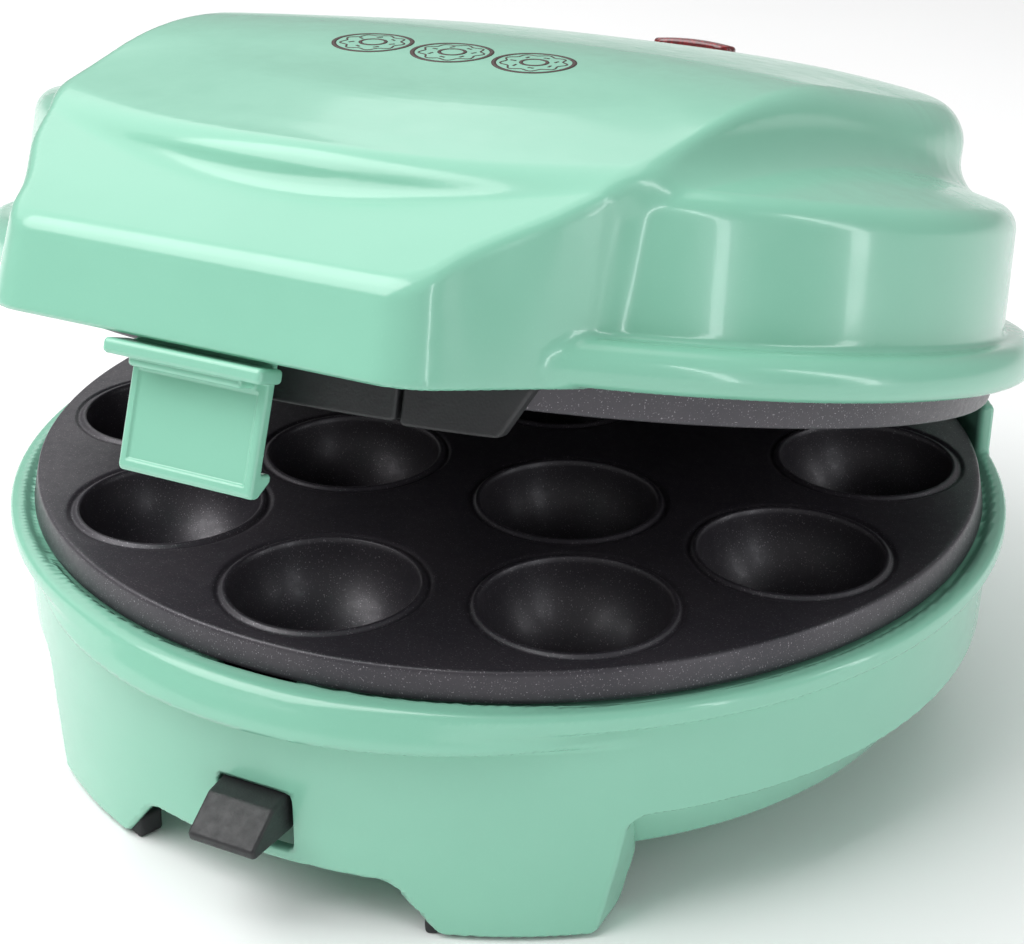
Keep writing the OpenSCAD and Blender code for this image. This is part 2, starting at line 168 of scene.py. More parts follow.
def outline(points, cell=0.1):
    """Distance to a closed outline in two coordinates, looked up in a table with a fine cell."""
    us, vs = (np.arange(min(p[k] for p in points) - 5, max(p[k] for p in points) + 5, cell) for k in (0, 1))
    u, v = us[:, None], vs[None, :]
    nearest = np.inf
    inside = np.zeros((len(us), len(vs)), bool)
    for (ax, ay), (bx, by) in zip(points, points[1:] + points[:1]):
        ex, ey = bx - ax, by - ay
        t = np.clip(((u - ax) * ex + (v - ay) * ey) / max(ex * ex + ey * ey, 1e-12), 0, 1)
        nearest = np.minimum(nearest, (u - ax - ex * t) ** 2 + (v - ay - ey * t) ** 2)
        if ay != by:
            inside ^= ((ay > v) != (by > v)) & (u - ax < ex * (v - ay) / ey)
    known = (np.where(inside, -1, 1) * np.sqrt(nearest)).ravel()
    row = len(vs)

    def field(u, v):
        i = np.clip((u - us[0]) / cell, 0, len(us) - 1.01)
        j = np.clip((v - vs[0]) / cell, 0, row - 1.01)
        i0, j0 = i.astype(np.int32), j.astype(np.int32)
        at = i0 * row + j0
        fi, fj = i - i0, j - j0
        low = known[at] * (1 - fi) + known[at + row] * fi
        high = known[at + 1] * (1 - fi) + known[at + row + 1] * fi
        return low * (1 - fj) + high * fj + np.hypot(u - us[0] - i * cell, v - vs[0] - j * cell)

    return field


def lathe(points, cell=0.1):
    """Solid of revolution about Z from an outline in radius and height."""
    section = outline(points, cell)
    return lambda x, y, z: section(np.hypot(x, y), z)


def rod_x(x, y, z, half, cy, cz, r):
    """Cylinder along X, centred on x = 0."""
    return np.maximum(np.hypot(y - cy, z - cz) - r, np.abs(x) - half)


def block(x, y, z, low, high, r=0.0):
    """Box from one corner to the opposite one, edges rounded by r."""
    q = [slab(v, a, b) + r for v, a, b in zip((x, y, z), low, high)]
    out = np.sqrt(np.maximum(q[0], 0) ** 2 + np.maximum(q[1], 0) ** 2 + np.maximum(q[2], 0) ** 2)
    return out + np.minimum(np.maximum(np.maximum(q[0], q[1]), q[2]), 0) - r


# ---- field to mesh ----
CORNERS = [(i, j, k) for i in (0, 1) for j in (0, 1) for k in (0, 1)]
EDGES = [
    (a, b) for a in CORNERS for b in CORNERS
    if sum(b) - sum(a) == 1 and sum(abs(p - q) for p, q in zip(a, b)) == 1
]


def pull(field, v, step, times, h=0.1):
    """Moves points onto the surface."""
    for _ in range(times):
        d = field(*v.T)
        g = np.empty_like(v)
        for k in range(3):
            ahead = v.copy()
            ahead[:, k] += h
            g[:, k] = (field(*ahead.T) - d) / h
        move = (d / np.maximum((g * g).sum(1), 0.2))[:, None] * g
        size = np.linalg.norm(move, axis=1, keepdims=True)
        v -= move * np.minimum(1, step * 0.5 / np.maximum(size, 1e-9))
    return v


def slope(field, v, h):
    """Outward unit normals at points v."""
    g = np.empty_like(v)
    for k in range(3):
        ahead, behind = v.copy(), v.copy()
        ahead[:, k] += h
        behind[:, k] -= h
        g[:, k] = field(*ahead.T) - field(*behind.T)
    return g / np.maximum(np.linalg.norm(g, axis=1, keepdims=True), 1e-9)


def surface(field, low, high, step):
    """Vertices, quads and normals of the closed surface where field is zero."""
    axes = [np.arange(a - 1.6 * step, b + 2.6 * step, step) for a, b in zip(low, high)]
    x, y, z = np.meshgrid(*axes, indexing="ij", sparse=True)
    d = np.broadcast_to(field(x, y, z), [len(a) for a in axes]).astype(np.float32)
    inside = d < 0
    nx, ny, nz = (size - 1 for size in d.shape)
    count = sum(inside[i : i + nx, j : j + ny, k : k + nz].astype(np.int8) for i, j, k in CORNERS)
    cells = np.argwhere((count > 0) & (count < 8))
    number = np.full(count.shape, -1, np.int64)
    number[tuple(cells.T)] = np.arange(len(cells))
    total, hits = np.zeros((len(cells), 3)), np.zeros(len(cells))
    for a, b in EDGES:
        da, db = d[tuple((cells + a).T)], d[tuple((cells + b).T)]
        cut = (da < 0) != (db < 0)
        t = np.where(cut, da / np.where(cut, da - db, 1), 0)
        place = np.array(a)[None] + t[:, None] * (np.array(b) - np.array(a))[None]
        total += place * cut[:, None]
        hits += cut
    v = (cells + total / hits[:, None]) * step + np.array([a[0] for a in axes])
    quads = []
    for k in range(3):
        first = [slice(None)] * 3
        first[k] = slice(0, -1)
        second = [slice(None)] * 3
        second[k] = slice(1, None)
        here, there = inside[tuple(first)], inside[tuple(second)]
        at = np.argwhere(here != there)
        p, q = [m for m in range(3) if m != k]
        at = at[(at[:, p] > 0) & (at[:, q] > 0)]
        ring = []
        for dp, dq in ((-1, -1), (0, -1), (0, 0), (-1, 0)):
            cell = at.copy()
            cell[:, p] += dp
            cell[:, q] += dq
            ring.append(number[tuple(cell.T)])
        ring = np.stack(ring, 1)
        out = here[tuple(at.T)] != (k == 1)
        quads.append(np.where(out[:, None], ring, ring[:, ::-1]))
    quads = np.concatenate(quads)
    v = pull(field, v, step, 3)
    for _ in range(2):  # even out the quads, then back onto the surface
        total, hits = np.zeros_like(v), np.zeros(len(v))
        for m in range(4):
            for n in (1, 3):
                a, b = quads[:, m], quads[:, (m + n) % 4]
                for c in range(3):
                    total[:, c] += np.bincount(a, v[b, c], len(v))
                hits += np.bincount(a, minlength=len(v))
        v = pull(field, 0.5 * v + 0.5 * total / hits[:, None], step, 2)
    return v, quads, slope(field, v, 0.2 if step > 0.6 else 0.1)


def solid(name, vertices, faces, place, body, material, nodes=(), slot=None, normals=None):
    """New piece from millimetre vertices, put in place and tied to its body."""
    mesh = bpy.data.meshes.new(name)
    mesh.from_pydata([], [], [])
    v = np.asarray(vertices, float)
    m = np.array(place)
    moved = (v @ m[:3, :3].T + m[:3, 3]) * MM
    mesh.from_pydata(moved.tolist(), [], [list(map(int, f)) for f in faces])
    mesh.validate()
    mesh.shade_smooth()
    if normals is not None:
        mesh.normals_split_custom_set_from_vertices((normals @ m[:3, :3].T).tolist())
    piece = bpy.data.objects.new(name, mesh)
    bpy.context.scene.collection.objects.link(piece)
    mesh.materials.append(material)
    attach(piece, body)
    if nodes:
        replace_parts(piece, *nodes)
    return piece


def mould(name, field, low, high, step, **settings):
    """Piece from a distance field."""
    v, quads, normals = surface(field, low, high, step)
    return solid(name, v, quads, normals=normals, **settings)


# ---- materials ----
def srgb(*c):
    """Display colour, 0 to 255, as a linear one."""
    return tuple(((v / 255 + 0.055) / 1.055) ** 2.4 if v > 10 else v / 255 / 12.92 for v in c) + (1.0,)


class Shader:
    """A Principled material with a few noise helpers, all in object coordinates."""

    def __init__(self, name, **sockets):
        self.material = bpy.data.materials.new(name)
        self.material.use_nodes = True
        self.tree = self.material.node_tree
        self.surface = self.tree.nodes["Principled BSDF"]
        self.place = self.tree.nodes.new("ShaderNodeTexCoord").outputs["Object"]
        self.height = None
        for key, value in sockets.items():
            self.surface.inputs[key.replace("_", " ")].default_value = value

    def node(self, kind, **values):
        made = self.tree.nodes.new(kind)
        for key, value in values.items():
            setattr(made, key, value)
        return made

    def stretched(self, scale):
        """Object coordinates with a different scale on each axis."""
        mapping = self.node("ShaderNodeMapping")
        mapping.inputs["Scale"].default_value = scale
        self.tree.links.new(self.place, mapping.inputs["Vector"])
        return mapping.outputs["Vector"]

    def noise(self, scale, detail=3.0, rough=0.5, vector=None):
        made = self.node("ShaderNodeTexNoise")
        made.inputs["Scale"].default_value = scale
        made.inputs["Detail"].default_value = detail
        made.inputs["Roughness"].default_value = rough
        self.tree.links.new(vector or self.place, made.inputs["Vector"])
        return made.outputs["Fac"]

    def cells(self, scale, feature="F1"):
        made = self.node("ShaderNodeTexVoronoi", feature=feature)
        made.inputs["Scale"].default_value = scale
        self.tree.links.new(self.place, made.inputs["Vector"])
        return made.outputs["Distance"]

    def span(self, value, low, high, to_low, to_high):
        """value from low..high to to_low..to_high, kept inside."""
        made = self.node("ShaderNodeMapRange")
        for key, number in (("From Min", low), ("From Max", high), ("To Min", to_low), ("To Max", to_high)):
            made.inputs[key].default_value = number
        self.tree.links.new(value, made.inputs["Value"])
        return made.outputs["Result"]

    def blend(self, factor, a, b):
        """Colour a where factor is 0, b where it is 1. Either may be a socket."""
        made = self.node("ShaderNodeMix", data_type="RGBA")
        self.tree.links.new(factor, made.inputs["Factor"])
        for socket, value in zip((made.inputs[6], made.inputs[7]), (a, b)):
            if isinstance(value, tuple):
                socket.default_value = value
            else:
                self.tree.links.new(value, socket)
        return made.outputs[2]

    def feed(self, socket, value):
        self.tree.links.new(value, self.surface.inputs[socket])

    def bump(self, value, distance, strength=1.0):
        made = self.node("ShaderNodeBump")
        made.inputs["Distance"].default_value = distance
        made.inputs["Strength"].default_value = strength
        self.tree.links.new(value, made.inputs["Height"])
        if self.height is not None:
            self.tree.links.new(self.height, made.inputs["Normal"])
        self.height = made.outputs["Normal"]
        self.feed("Normal", self.height)


def mint_plastic():
    """Glossy moulded plastic: even colour with faint flow clouds and a fine orange peel."""
    s = Shader("mint_plastic", IOR=1.5, Coat_Weight=0.35, Coat_Roughness=0.06)
    clouds = s.noise(14, 4, 0.6)
    tint = s.blend(s.span(clouds, 0.35, 0.65, 0, 1), srgb(134, 196, 171), srgb(139, 201, 176))
    dust = s.span(s.noise(2600, 2, 0.7), 0.62, 0.8, 0, 0.25)
    s.feed("Base Color", s.blend(dust, tint, srgb(156, 216, 193)))
    s.feed("Roughness", s.span(s.noise(160, 5, 0.65), 0.3, 0.7, 0.17, 0.27))
    s.bump(s.noise(420, 2, 0.5), 0.00003, 0.5)
    s.bump(s.noise(3000, 2, 0.5), 0.000008, 0.35)
    return s.material


def nonstick_coat():
    """Dark satin baking coat with fine mica and a sprayed grain."""
    s = Shader("nonstick_coat", Metallic=0.35, IOR=1.6, Coat_Weight=0.25, Coat_Roughness=0.3)
    clouds = s.span(s.noise(55, 5, 0.6), 0.35, 0.65, 0, 1)
    ground = s.blend(clouds, srgb(56, 53, 60), srgb(66, 62, 68))
    mica = s.span(s.noise(3400, 1, 0.4), 0.66, 0.74, 0, 0.8)
    s.feed("Base Color", s.blend(mica, ground, srgb(150, 144, 150)))
    s.feed("Roughness", s.span(s.noise(700, 4, 0.6), 0.3, 0.7, 0.34, 0.5))
    s.bump(s.noise(1500, 3, 0.6), 0.00004, 0.5)
    s.bump(s.noise(240, 2, 0.5), 0.00004, 0.3)
    return s.material


def black_plastic():
    """Fine spark-eroded black plastic."""
    s = Shader("black_plastic", IOR=1.5)
    clouds = s.span(s.noise(90, 4, 0.6), 0.35, 0.65, 0, 1)
    s.feed("Base Color", s.blend(clouds, srgb(33, 33, 35), srgb(43, 43, 45)))
    s.feed("Roughness", s.span(s.noise(500, 4, 0.6), 0.3, 0.7, 0.42, 0.58))
    s.bump(s.cells(2100), 0.00006, 0.5)
    s.bump(s.noise(900, 3, 0.6), 0.00004, 0.4)
    return s.material


def drawn_metal(name, dark, light, along, low=0.22, high=0.4):
    """Bare metal with drawing lines along one axis and faint heat clouds."""
    s = Shader(name, Metallic=1.0)
    lines = s.noise(1.0, 3, 0.6, s.stretched(along))
    tone = s.blend(s.span(lines, 0.3, 0.7, 0, 1), dark, light)
    clouds = s.span(s.noise(70, 4, 0.6), 0.4, 0.7, 0, 0.35)
    s.feed("Base Color", s.blend(clouds, tone, dark))
    s.feed("Roughness", s.span(lines, 0.3, 0.7, low, high))
    s.bump(lines, 0.00002, 0.5)
    return s.material


def rubber():
    """Soft matt rubber with a bloom."""
    s = Shader("rubber", IOR=1.48)
    clouds = s.span(s.noise(130, 4, 0.65), 0.35, 0.7, 0, 1)
    s.feed("Base Color", s.blend(clouds, srgb(38, 38, 40), srgb(56, 56, 58)))
    s.feed("Roughness", s.span(clouds, 0, 1, 0.68, 0.85))
    s.bump(s.noise(1800, 3, 0.6), 0.00006, 0.6)
    return s.material


def white_plastic():
    """Natural nylon or ceramic, a little uneven."""
    s = Shader("white_plastic", IOR=1.5, Subsurface_Weight=0.1, Subsurface_Scale=0.002)
    clouds = s.span(s.noise(100, 4, 0.6), 0.3, 0.7, 0, 1)
    s.feed("Base Color", s.blend(clouds, srgb(214, 210, 198), srgb(228, 225, 214)))
    s.feed("Roughness", s.span(s.noise(400, 3, 0.6), 0.3, 0.7, 0.4, 0.55))
    s.bump(s.noise(1500, 2, 0.5), 0.00003, 0.4)
    return s.material


def wire_cover():
    """Braided glass sleeve: brown with a fine diamond weave."""
    s = Shader("wire_cover", Sheen_Weight=0.2)
    weave = s.cells(1900)
    s.feed("Base Color", s.blend(s.span(weave, 0.1, 0.6, 0, 1), srgb(150, 112, 84), srgb(84, 56, 40)))
    s.feed("Roughness", s.span(weave, 0, 0.7, 0.6, 0.8))
    s.bump(weave, 0.0001, 0.7)
    return s.material


def red_lens():
    """Clear dark red indicator lens with a grained underside."""
    s = Shader("red_lens", IOR=1.49, Coat_Weight=0.8, Coat_Roughness=0.04)
    grain = s.cells(1300)
    s.feed("Base Color", s.blend(s.span(grain, 0.1, 0.6, 0, 1), srgb(150, 20, 26), srgb(92, 8, 14)))
    s.feed("Roughness", s.span(s.noise(500, 3, 0.5), 0.3, 0.7, 0.1, 0.2))
    s.bump(s.noise(700, 2, 0.5), 0.00002, 0.3)
    return s.material


def printed_ink():
    """Dark brown pad print, a little thin in places."""
    s = Shader("printed_ink", IOR=1.5)
    thin = s.span(s.noise(900, 4, 0.7), 0.45, 0.75, 0, 0.5)
    s.feed("Base Color", s.blend(thin, srgb(52, 26, 22), srgb(92, 58, 50)))
    s.feed("Roughness", s.span(thin, 0, 0.5, 0.35, 0.55))
    s.bump(s.noise(2500, 2, 0.6), 0.00001, 0.4)
    return s.material


MINT = mint_plastic()
COAT = nonstick_coat()
BLACK = black_plastic()
STEEL = drawn_metal("steel", srgb(150, 150, 152), srgb(196, 196, 198), (900, 60, 900))
SHIELD = drawn_metal("shield_sheet", srgb(182, 182, 180), srgb(214, 214, 212), (60, 1100, 600), 0.18, 0.34)
RUBBER = rubber()
WHITE = white_plastic()
SLEEVE = wire_cover()
LENS = red_lens()
INK = printed_ink()
BY_SLOT = {
    "mint_plastic": MINT, "nonstick_coat": COAT, "black_plastic": BLACK, "steel": STEEL, "shield_sheet": SHIELD,
    "rubber": RUBBER, "white_plastic": WHITE, "wire_cover": SLEEVE, "red_lens": LENS,
}


# ---- CAD nodes that stay, with softened edges ----
def keep_cad(name, slot, edge=0.25):
    node = frame["nodes"][name]
    node.data.materials.clear()
    node.data.materials.append(BY_SLOT[slot])
    if edge:
        soft = node.modifiers.new("edge", "BEVEL")
        soft.width = edge * MM
        soft.segments = 2
        soft.limit_method = "ANGLE"
        soft.angle_limit = math.radians(40)
        soft.use_clamp_overlap = True
        soft.harden_normals = False


# ---- lid, in the shut pose ----
def deck_height(y):
    """Top of the deck along its middle line: a long arch that meets a ramp to the nose."""
    arch = 120.4 - 0.0007 * (50 - y) ** 2
    ramp = 84.4 + 0.68 * (y + 112)
    soft = 34.0
    return np.minimum(arch, ramp) - np.maximum(soft - np.abs(arch - ramp), 0) ** 2 / (4 * soft)


DECK_PLAN = outline(rounded([(40.4, -121, 11), (58.6, -84.6, 60), (79, 30, 150), (79, 98, 52),
                             (-79, 98, 52), (-79, 30, 150), (-58.6, -84.6, 60), (-40.4, -121, 11)]), 0.2)
DRUM = lathe(rounded([(0, 40), (102.6, 40), (102.6, 72, 60), (101.4, 95.4, 5), (70, 103.2, 60), (0, 108)]), 0.2)
BEAD = lathe(rounded([(96, 62.9), (109.8, 62.9, 3.4), (109.8, 71, 4.2), (96, 71)]))


def deck(x, y, z):
    crown = 1.5e-5 * np.abs(x) ** 3 * step_up(y, -60, 30)
    rise = (deck_height(y + 0.5) - deck_height(y - 0.5))
    top = (z - deck_height(y) + crown) / np.sqrt(1 + rise * rise)
    side = DECK_PLAN(x, y) + 0.115 * (z - 63) * step_up(-y, 96, 112)
    return both_of(side, top, 2.0 + 5.5 * step_up(y, -70, 15))


def lid_body(x, y, z):
    """Nose, deck and drum as one form, open downwards."""
    return either_of(deck(x, y, z), DRUM(x, y, z), 2.4 + 4.0 * step_up(z, 90, 99))


def lens_slot(x, y):
    return np.hypot(np.maximum(np.abs(x) - 7.6, 0), y - LENS_Y) - 3.2


def lid_field(x, y, z):
    body = lid_body(x, y, z)
    outer = either_of(body, BEAD(x, y, z), 1.4)
    hy, hz = HINGE.y, HINGE.z
    web = block(x, y, z, (-KNUCKLE_HALF, 88, hz - KNUCKLE_R), (KNUCKLE_HALF, hy, hz + KNUCKLE_R), 0.5)
    knuckle = np.minimum(rod_x(x, y, z, KNUCKLE_HALF, hy, hz, KNUCKLE_R), web)
    outer = either_of(both_of(outer, 62.3 - z, 0.9), knuckle, 1.6)
    shell = less(outer, body + WALL, 0.4)
    for px, py in ((40, -30), (41, 30)):
        post = np.hypot(np.abs(x) - px, y - py)
        shell = np.minimum(shell, np.maximum(np.maximum(post - 3.4, 87.7 - z), body + 1))
        shell = np.maximum(shell, -np.maximum(post - 1.5, z - 102))
    bearer = block(np.abs(x), y, z, (14.2, -119, 62.4), (16.6, -110, 70.4), 0.5)
    shell = np.minimum(shell, bearer)
    shell = less(shell, np.maximum(np.hypot(x, y) - 104, z - 63.7), 0.4)
    shell = less(shell, block(np.abs(x), y, z, (49.4, 89.6, 50), (66.8, 125, 84), 1.0), 0.8)
    shell = less(shell, np.maximum(np.hypot(y - hy, z - hz) - 2.54, 30 - np.abs(x)), 0.2)
    shell = less(shell, rod_x(x, y, z, 17.5, LATCH.y, LATCH.z, 1.5), 0.2)
    return less(shell, np.maximum(lens_slot(x, y), 105 - z), 0.4)


def underplate_field(x, y, z):
    plate = both_of(DECK_PLAN(x, y) + WALL + 0.2, slab(z, 62.6, 64.8), 0.5)
    plate = both_of(plate, 104.2 - np.hypot(x, y), 0.3)
    plate = both_of(plate, y + 80, 0.3)
    plate = less(plate, np.maximum(np.abs(x) - 16.8, slab(y, -119, -109.6)), 0.3)
    plate = less(plate, np.maximum(slab(x, 17.4, 28.6), slab(y, -109.6, -90)), 0.3)
    return less(plate, np.hypot(np.abs(x) - 34, y + 107) - 1.7, 0.3)


def lens_field(x, y, z):
    dome = z - 122.6 + 0.03 * (x * x * 0.25 + (y - LENS_Y) ** 2)
    return both_of(both_of(lens_slot(x, y) + 0.12, dome, 0.8), 114 - z, 0.3)


HOOK = outline(rounded([(-114.9, 68), (-114.9, 38.7, 1.1), (-112.4, 38.7, 0.8), (-109.3, 41.4, 0.4),
                        (-109.3, 42.8, 0.4), (-112.3, 42.8, 0.5), (-112.3, 68)]))


def latch_field(x, y, z):
    plate = both_of(HOOK(y, z), np.abs(x) - 13.2, 0.6)
    knuckle = both_of(np.hypot(y - LATCH.y, z - LATCH.z) - 3.1, np.abs(x) - 13.2, 0.5)
    body = either_of(plate, knuckle, 1.2)
    ledge = np.minimum(block(x, y, z, (-15.4, -121, 58), (15.4, -114, 60.6), 0.8),
                       block(x, y, z, (-11, -119.6, 56.6), (11, -114, 59), 0.7))
    body = either_of(body, ledge, 0.6)
    body = less(body, block(x, y, z, (-11.6, -118, 40.8), (11.6, -114.5, 56), 0.3), 0.35)
    return less(body, np.hypot(y - LATCH.y, z - LATCH.z) - 1.53, 0.2)


def hanging(x, y, z, foot, low, high, reach):
    """Pad in front of the plates: curved with their rim, its side cut at a slant."""
    curved = slab(np.hypot(x, y), 104.3, reach)
    return both_of(both_of(curved, foot(x, z), 0.6), y + 80, 0.3)


CATCH_FRONT = outline(rounded([(2, 53.6, 0.7), (30, 53.6, 0.9), (30, 62.3, 0.3), (2, 62.3, 0.3)]))
CATCH_STEM = outline([(-107, 60), (-107, 71.3), (-95.9, 71.3), (-95.9, 70.6), (-97.6, 69.2), (-104.4, 69.2),
                      (-104.4, 60)])
GUIDE_FRONT = outline(rounded([(30.6, 53, 0.9), (46, 53, 1.5), (50.6, 62.6, 0.3), (30.6, 62.6, 0.3)]))


def catch_field(x, y, z):
    pad = hanging(x, y, z, CATCH_FRONT, 53.6, 62.3, 107.6)
    stem = both_of(CATCH_STEM(y, z), slab(x, 18, 28), 0.3)
    bar = both_of(np.maximum(CATCH_STEM(y, z), 69.2 - z), slab(x, -4.6, 19), 0.3)
    return np.minimum(either_of(pad, stem, 0.3), bar)


def guide_field(x, y, z):
    return hanging(x, y, z, GUIDE_FRONT, 53, 62.6, 107.2)


# ---- base ----
FLANGE = lathe(rounded([(99, 49.6, 0.5), (103.4, 49.6), (105.0, 51, 0.6), (108, 51, 1.5), (108, 46.6, 1.3),
                        (105.2, 46.6, 1.2), (104.6, 26.2, 0.7), (101.4, 26.2, 0.6), (102.5, 47.4),
                        (99, 47.4, 0.4)]))
SKIRT = lathe(rounded([(101.6, -9), (104.4, -9), (104.6, 26.2), (105.2, 46.6), (102.6, 46.6)]))
LEG = lathe(rounded([(95, 0.8), (104.4, 0.8), (104.6, 26.5), (101.8, 26.5), (95, 12.2)]))
ARCH = outline(rounded([(-38, -6), (38, -6), (35.2, 0.8, 3), (26.5, 11.7, 5), (-26.5, 11.7, 5),
                        (-35.2, 0.8, 3)]))
REAR_WALL = lathe(rounded([(104.6, 46), (108, 46), (108, 62, 1.2), (104.6, 62, 1.2)]))
LOW_WALL = lathe(rounded([(104.6, 46), (108, 46), (108, 55, 1.2), (104.6, 55, 1.2)]))


def base_field(x, y, z):
    r = np.hypot(x, y)
    ax, ay = np.abs(x), np.abs(y)
    # skirt and legs: everything outside the leg's flank and above the arch is cut from one turned wall
    flank = (ax - 59.8 - 4.6 * step_up(z, -14, 30) - 0.04 * z) * 0.98
    below = either_of(26.2 - z, flank, 3.5)
    arch = ARCH(x, z)
    wall = both_of(both_of(SKIRT(x, y, z), below, 0.7), 0.8 - z, 0.8)
    wall = less(wall, arch, 1.0)
    leg = both_of(both_of(LEG(x, y, z), flank, 0.9), 0.8 - z, 0.8)
    leg = np.maximum(less(leg, arch, 1.0), 24 - ax)
    angle = np.degrees(np.arctan2(ax, ay)) - 25.8
    pocket = np.maximum(np.maximum(slab(r, 97.3, 103.4), (np.abs(angle) - 8.6) * np.radians(1) * r), z - 14)
    leg = np.maximum(leg, -pocket)
    shape = np.minimum(np.minimum(wall, leg), FLANGE(x, y, z))
    # lip for the latch
    lip_r = np.hypot(x, y + 24)
    lip = both_of(both_of(lip_r - 87.5, (lip_r - 87.5 + (z - 46.6) * 0.8) * 0.78, 2.0), slab(z, 43, 51), 1.1)
    lip = np.maximum(lip, 104 - r)
    shape = either_of(shape, lip, 1.6)
    # rear wall and hinge towers
    back = np.degrees(np.arctan2(ax, y))
    wall = both_of(REAR_WALL(x, y, z), slab(back, 28, 61) * np.radians(1) * r, 1.2)
    wall = np.minimum(wall, np.maximum(LOW_WALL(x, y, z), (back - 31) * np.radians(1) * r))
    shape = either_of(shape, wall, 0.8)
    hy, hz = HINGE.y, HINGE.z
    tower = np.minimum(np.hypot(y - hy, z - hz) - KNUCKLE_R,
                       np.maximum(np.abs(y - hy) - KNUCKLE_R, slab(z, 46, hz)))
    tower = both_of(tower, slab(ax, 50, 66), 1.0)
    tower = less(tower, np.maximum(r - 104.4, z - 65), 0.6)
    shape = either_of(shape, tower, 1.5)
    shape = less(shape, np.maximum(np.hypot(y - hy, z - hz) - 2.5, ax - 70), 0.2)
    # ears for the lever, posts for the cover
    ear = block(ax, y, z, (8.2, -103.6, 20.4), (12, -93.4, 28), 0.4)
    shape = np.minimum(shape, ear)
    d = math.sqrt(0.5)
    along, across = (ax + ay) * d, (ax - ay) * d
    post = np.maximum(np.hypot(along - 86, across) - 3.8, slab(z, 15.2, 29.2))
    rib = np.maximum(np.maximum(slab(along, 86, 102.4), np.abs(across) - 1.3), slab(z, 26.2, 29.2))
    shape = np.minimum(shape, np.minimum(post, rib))
    shape = np.maximum(shape, -np.maximum(np.hypot(along - 86, across) - 1.5, z - 26))
    # lever slot, pin, cord inlet, clip seats
    shape = less(shape, block(x, y, z, (-7.9, -112, 14.6), (7.9, -90, 27), 0.6), 0.5)
    shape = less(shape, block(x, y, z, (-8.1, -103.4, 20), (8.1, -90, 49.92), 0.2), 0.2)
    shape = less(shape, rod_x(x, y, z, 13, LEVER.y, LEVER.z, 1.5), 0.2)
    shape = less(shape, np.maximum(np.hypot(x, z - 33) - 6, 90 - y), 0.5)
    return less(shape, np.maximum(block(ax, y, z, (24, 90, 43), (40, 98, 49.92), 0.2), r - 102.4), 0.2)


COVER = lathe(rounded([(0, 12.5), (93.8, 12.5, 2.0), (100.9, 25.8, 0.8), (98.5, 25.8, 0.8), (93, 14.9, 1.2),
                       (0, 14.9)]))


def cover_field(x, y, z):
    notch = np.maximum(np.maximum(np.abs(x) - 13.6, slab(y, -106, -88)), 14.9 - z)
    shape = less(COVER(x, y, z), notch, 0.3)
    d = math.sqrt(0.5)
    hole = np.hypot((np.abs(x) + np.abs(y)) * d - 86, (np.abs(x) - np.abs(y)) * d) - 1.9
    shape = less(shape, hole, 0.3)
    lane = np.abs(x) - 9 * np.clip(np.round(np.abs(x) / 9), 0, 4)
    vent = np.hypot(np.maximum(np.abs(np.abs(y) - 48) - 12, 0), lane) - 2
    return less(shape, vent, 0.5)


FOOT = lathe(rounded([(97.7, 0, 0.6), (103.1, 0, 0.6), (103.3, 5), (97.5, 5)]))


def foot_field(x, y, z):
    angle = np.degrees(np.arctan2(np.abs(x), np.abs(y))) - 25.8
    side = (np.abs(angle) - 7.6) * np.radians(1) * np.hypot(x, y)
    tread = 0.35 - 0.35 * step_up(np.abs(np.sin(angle * 1.6)), 0.25, 0.5)
    return both_of(both_of(FOOT(x, y, z), side, 0.8), tread - z, 0.2)


LEVER_SIDE = outline(rounded([(-95, 20.6, 0.5), (-103, 18.4, 2), (-115.4, 19.2, 0.9), (-115.8, 21.2, 0.8),
                              (-108.6, 26.1, 1.6), (-97, 27.4, 0.5)]))
LEVER_ARM = outline(rounded([(-97.2, 22), (-99.6, 22), (-99.6, 44.4, 0.5), (-97.6, 44.4, 0.4), (-95.9, 42.8, 0.3),
                             (-95.9, 42.2, 0.2), (-97.2, 42.2, 0.3)]))


def lever_field(x, y, z):
    """Wedge-shaped press pad with a hub and an arm."""
    pad = both_of(LEVER_SIDE(y, z), np.abs(x) - 7.2, 0.7)
    hub = both_of(np.hypot(y - LEVER.y, z - LEVER.z) - 4, np.abs(x) - 7.2, 0.5)
    arm = both_of(LEVER_ARM(y, z), np.abs(x) - 4.4, 0.4)
    shape = either_of(np.minimum(pad, hub), arm, 0.8)
    shape = less(shape, np.hypot(y - LEVER.y, z - LEVER.z) - 1.53, 0.2)
    return less(shape, np.maximum(np.hypot(y - LEVER.y, z - LEVER.z) - 4.3, 3 - x), 0.1)


